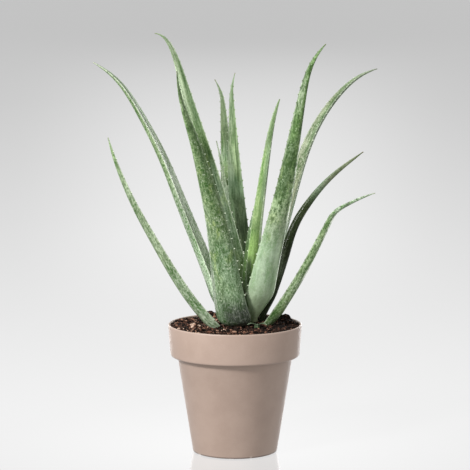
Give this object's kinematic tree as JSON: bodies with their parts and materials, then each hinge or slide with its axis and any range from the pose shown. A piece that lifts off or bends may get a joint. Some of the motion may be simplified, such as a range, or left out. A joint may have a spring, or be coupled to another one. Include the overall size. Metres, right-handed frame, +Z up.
{
  "type": "potted aloe vera",
  "caption": "Spreading rosette of thick tapered leaves with toothed margins, rooted in soil in a round tapered pot with a heavy collar.",
  "frame": {"origin": "centre of the pot's underside, on the surface that the pot stands on", "axes": "+Z up along the pot's axis; +X to the right and +Y away from the viewer in the plant's front view"},
  "size_m": [0.265, 0.2554, 0.3719],
  "materials": {
    "pot": "matte, warm taupe",
    "soil": "loose potting soil with bark crumbs",
    "stem": "dry fibrous skin",
    "leaf": "waxy, flecked grey green",
    "young_leaf": "waxy, fresh yellow green"
  },
  "bodies": {
    "root": {"pot": "pot", "soil": "soil", "stem": "stem", "leaf_01": "leaf", "leaf_02": "leaf", "leaf_03": "leaf", "leaf_04": "leaf", "leaf_05": "leaf", "leaf_06": "leaf", "leaf_07": "young_leaf", "leaf_08": "leaf", "leaf_09": "leaf", "leaf_10": "leaf", "leaf_11": "leaf", "leaf_12": "leaf", "leaf_13": "young_leaf", "pup": "young_leaf"}
  },
  "joints": []
}
